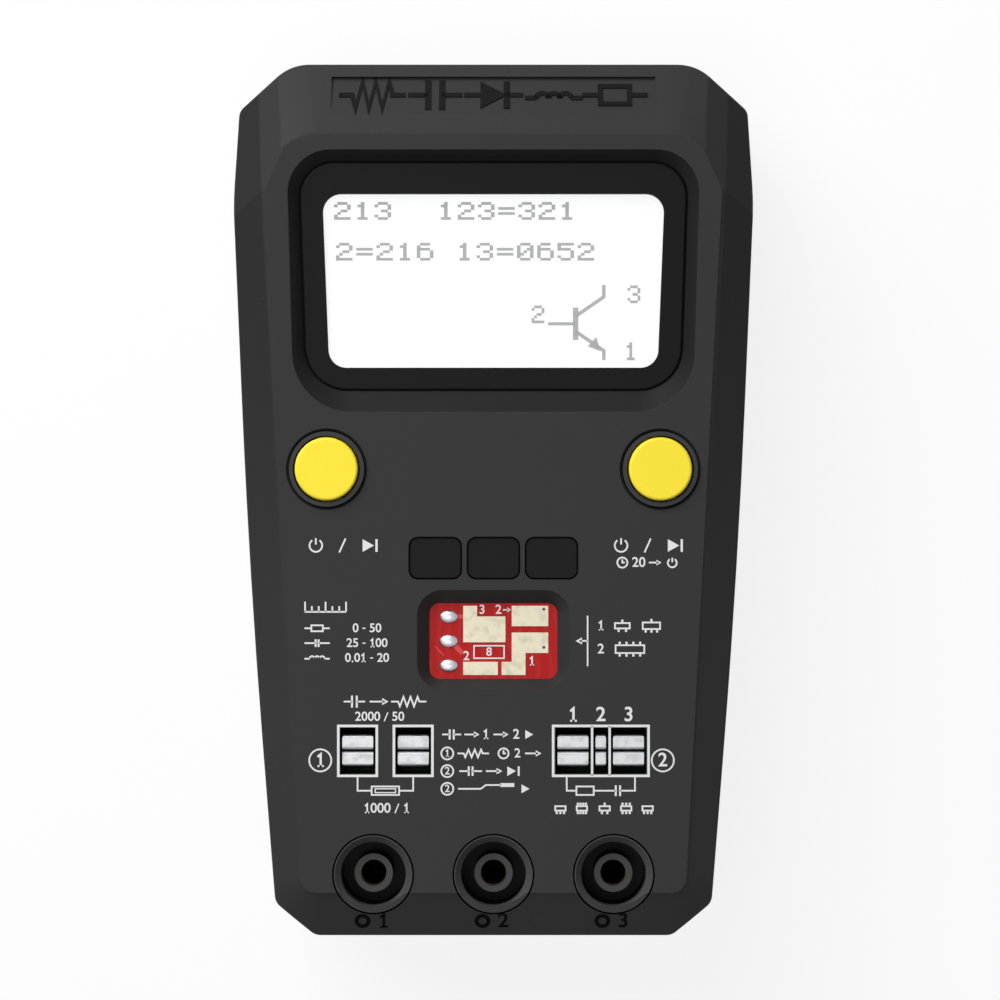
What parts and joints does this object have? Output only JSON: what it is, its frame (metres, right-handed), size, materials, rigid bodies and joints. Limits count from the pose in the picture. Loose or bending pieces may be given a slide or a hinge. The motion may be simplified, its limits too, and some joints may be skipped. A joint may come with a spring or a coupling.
{
  "type": "component tester",
  "caption": "Handheld electronic component tester with a framed display, yellow push buttons, spring clip ports, a solder pad tray and shrouded plug jacks, in a faceted dark plastic case",
  "frame": {"origin": "centre of the bounding box at its bottom, on the back of the case", "axes": "X across the case to the right, Y from the jacks towards the display, Z out of the front panel"},
  "size_m": [0.0838, 0.14, 0.0394],
  "materials": {
    "case_plastic": "fine satin texture",
    "bezel_plastic": "satin",
    "clear_lens": "clear",
    "display_glass": "polished",
    "backlight_plastic": "diffuse",
    "black_plastic": "satin",
    "yellow_plastic": "semi gloss",
    "red_board": "solder mask",
    "green_board": "solder mask",
    "gold_plate": "bright plate",
    "solder": "bright",
    "spring_metal": "plated",
    "contact_brass": "turned",
    "screw_steel": "zinc plated",
    "tin_pins": "bright",
    "chip_plastic": "matte",
    "can_metal": "drawn",
    "ceramic_body": "matte",
    "battery_skin": "satin",
    "foam": "open cell",
    "lead_red": "satin",
    "lead_black": "satin"
  },
  "bodies": {
    "case": {"front_shell": "case_plastic", "rear_shell": "case_plastic", "display_bezel": "bezel_plastic", "display_lens": "clear_lens", "lcd_glass": "display_glass", "lcd_backlight": "backlight_plastic", "lcd_holder": "black_plastic", "lcd_pins": "tin_pins", "blank_keys": "black_plastic", "pad_board": "red_board", "test_pads": "gold_plate", "pad_pins": "tin_pins", "solder_joints": "solder", "discharge_clip_base": "black_plastic", "test_clip_base": "black_plastic", "main_board": "green_board", "microcontroller": "chip_plastic", "crystal": "can_metal", "voltage_regulator": "chip_plastic", "reservoir_capacitor": "can_metal", "chip_passives": "ceramic_body", "discharge_resistor": "ceramic_body", "board_screws": "screw_steel", "case_screws": "screw_steel", "battery": "battery_skin", "battery_foam": "foam", "battery_terminals": "tin_pins", "battery_snap": "black_plastic", "battery_lead_red": "lead_red", "battery_lead_black": "lead_black", "left_button_collar": "black_plastic", "left_switch_body": "black_plastic", "right_button_collar": "black_plastic", "right_switch_body": "black_plastic", "jack_1_socket": "black_plastic", "jack_1_contact": "contact_brass", "jack_2_socket": "black_plastic", "jack_2_contact": "contact_brass", "jack_3_socket": "black_plastic", "jack_3_contact": "contact_brass"},
    "battery_cover": {"battery_cover": "case_plastic", "cover_screws": "screw_steel"},
    "left_button": {"left_button_cap": "yellow_plastic", "left_switch_plunger": "black_plastic"},
    "right_button": {"right_button_cap": "yellow_plastic", "right_switch_plunger": "black_plastic"},
    "discharge_clip_left_upper": {"discharge_clip_left_upper": "spring_metal"},
    "discharge_clip_left_lower": {"discharge_clip_left_lower": "spring_metal"},
    "discharge_clip_right_upper": {"discharge_clip_right_upper": "spring_metal"},
    "discharge_clip_right_lower": {"discharge_clip_right_lower": "spring_metal"},
    "test_clip_1_upper": {"test_clip_1_upper": "spring_metal"},
    "test_clip_1_lower": {"test_clip_1_lower": "spring_metal"},
    "test_clip_2_upper": {"test_clip_2_upper": "spring_metal"},
    "test_clip_2_lower": {"test_clip_2_lower": "spring_metal"},
    "test_clip_3_upper": {"test_clip_3_upper": "spring_metal"},
    "test_clip_3_lower": {"test_clip_3_lower": "spring_metal"}
  },
  "joints": [
    {"name": "cover_lift", "type": "slide", "parent": "case", "child": "battery_cover", "axis": [0, 0, -1], "range_m": [0, 0.03]},
    {"name": "left_button_press", "type": "slide", "parent": "case", "child": "left_button", "axis": [0, 0, -1], "range_m": [0, 0.0005], "stiffness_N_per_m": 2400, "springref_m": -0.0001},
    {"name": "right_button_press", "type": "slide", "parent": "case", "child": "right_button", "axis": [0, 0, -1], "range_m": [0, 0.0005], "stiffness_N_per_m": 2400, "springref_m": -0.0001},
    {"name": "discharge_clip_left_upper_bend", "type": "hinge", "parent": "case", "child": "discharge_clip_left_upper", "pos_m": [-0.0215, -0.03728, 0.027], "axis": [-1, 0, 0], "range_deg": [0, 3], "stiffness_Nm_per_rad": 0.2},
    {"name": "discharge_clip_left_lower_bend", "type": "hinge", "parent": "case", "child": "discharge_clip_left_lower", "pos_m": [-0.0215, -0.04233, 0.027], "axis": [1, 0, 0], "range_deg": [0, 3], "stiffness_Nm_per_rad": 0.2},
    {"name": "discharge_clip_right_upper_bend", "type": "hinge", "parent": "case", "child": "discharge_clip_right_upper", "pos_m": [-0.0127, -0.03728, 0.027], "axis": [-1, 0, 0], "range_deg": [0, 3], "stiffness_Nm_per_rad": 0.2},
    {"name": "discharge_clip_right_lower_bend", "type": "hinge", "parent": "case", "child": "discharge_clip_right_lower", "pos_m": [-0.0127, -0.04233, 0.027], "axis": [1, 0, 0], "range_deg": [0, 3], "stiffness_Nm_per_rad": 0.2},
    {"name": "test_clip_1_upper_bend", "type": "hinge", "parent": "case", "child": "test_clip_1_upper", "pos_m": [0.0126, -0.03728, 0.027], "axis": [-1, 0, 0], "range_deg": [0, 3], "stiffness_Nm_per_rad": 0.2},
    {"name": "test_clip_1_lower_bend", "type": "hinge", "parent": "case", "child": "test_clip_1_lower", "pos_m": [0.0126, -0.04233, 0.027], "axis": [1, 0, 0], "range_deg": [0, 3], "stiffness_Nm_per_rad": 0.2},
    {"name": "test_clip_2_upper_bend", "type": "hinge", "parent": "case", "child": "test_clip_2_upper", "pos_m": [0.017, -0.03728, 0.027], "axis": [-1, 0, 0], "range_deg": [0, 3], "stiffness_Nm_per_rad": 0.2},
    {"name": "test_clip_2_lower_bend", "type": "hinge", "parent": "case", "child": "test_clip_2_lower", "pos_m": [0.017, -0.04233, 0.027], "axis": [1, 0, 0], "range_deg": [0, 3], "stiffness_Nm_per_rad": 0.2},
    {"name": "test_clip_3_upper_bend", "type": "hinge", "parent": "case", "child": "test_clip_3_upper", "pos_m": [0.0214, -0.03728, 0.027], "axis": [-1, 0, 0], "range_deg": [0, 3], "stiffness_Nm_per_rad": 0.2},
    {"name": "test_clip_3_lower_bend", "type": "hinge", "parent": "case", "child": "test_clip_3_lower", "pos_m": [0.0214, -0.04233, 0.027], "axis": [1, 0, 0], "range_deg": [0, 3], "stiffness_Nm_per_rad": 0.2}
  ]
}
